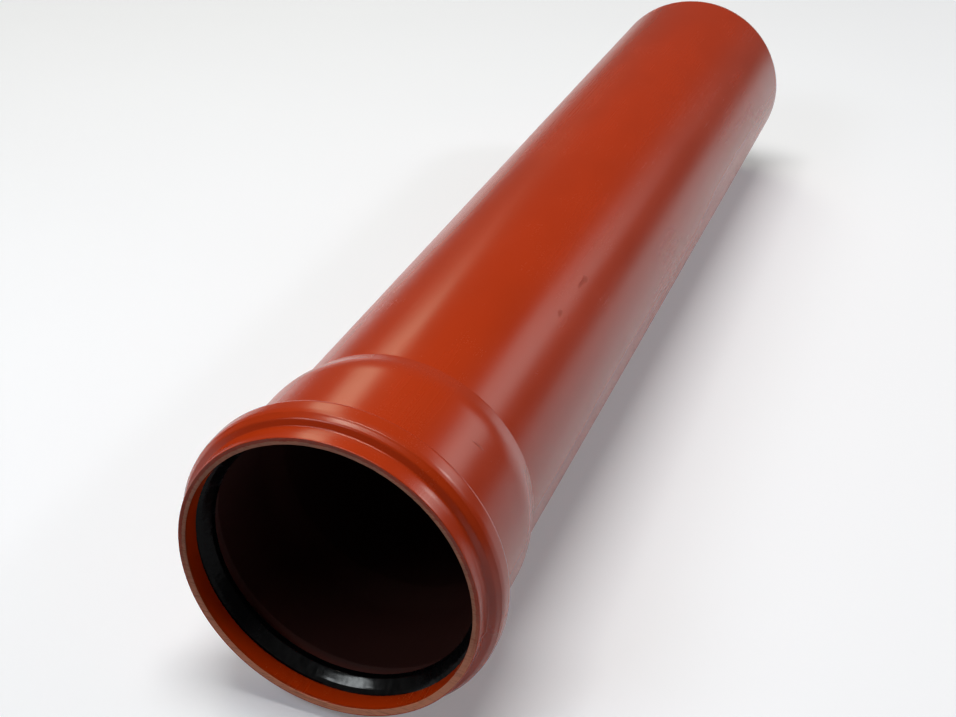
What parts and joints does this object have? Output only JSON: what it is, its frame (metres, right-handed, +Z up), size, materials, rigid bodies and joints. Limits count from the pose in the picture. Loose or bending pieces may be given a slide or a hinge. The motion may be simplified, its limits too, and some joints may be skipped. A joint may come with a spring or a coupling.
{
  "type": "pvc sewer pipe",
  "caption": "Short orange-brown sewer drain pipe with a belled ring-seal socket at one end, a chamfered plain spigot at the other and a black rubber lip seal in the socket's groove.",
  "frame": {"origin": "on the floor, under the middle of the pipe's bounding box, with the pipe lying on its side", "axes": "+X runs along the pipe towards the socket's mouth, +Z is up. The pipe rests on the socket's bead and on the spigot's edge, so its axis is in the XZ plane and falls 0.97 degrees towards the spigot"},
  "size_m": [0.5778, 0.1288, 0.1288],
  "materials": {
    "pipe_body": "satin orange-brown PVC-U with fine lengthwise drawing marks and a rough sawn end face",
    "ring_rubber": "black synthetic rubber, wet-looking with lubricant"
  },
  "bodies": {
    "root": {"pipe": "pipe_body", "seal_ring": "ring_rubber"}
  },
  "joints": []
}
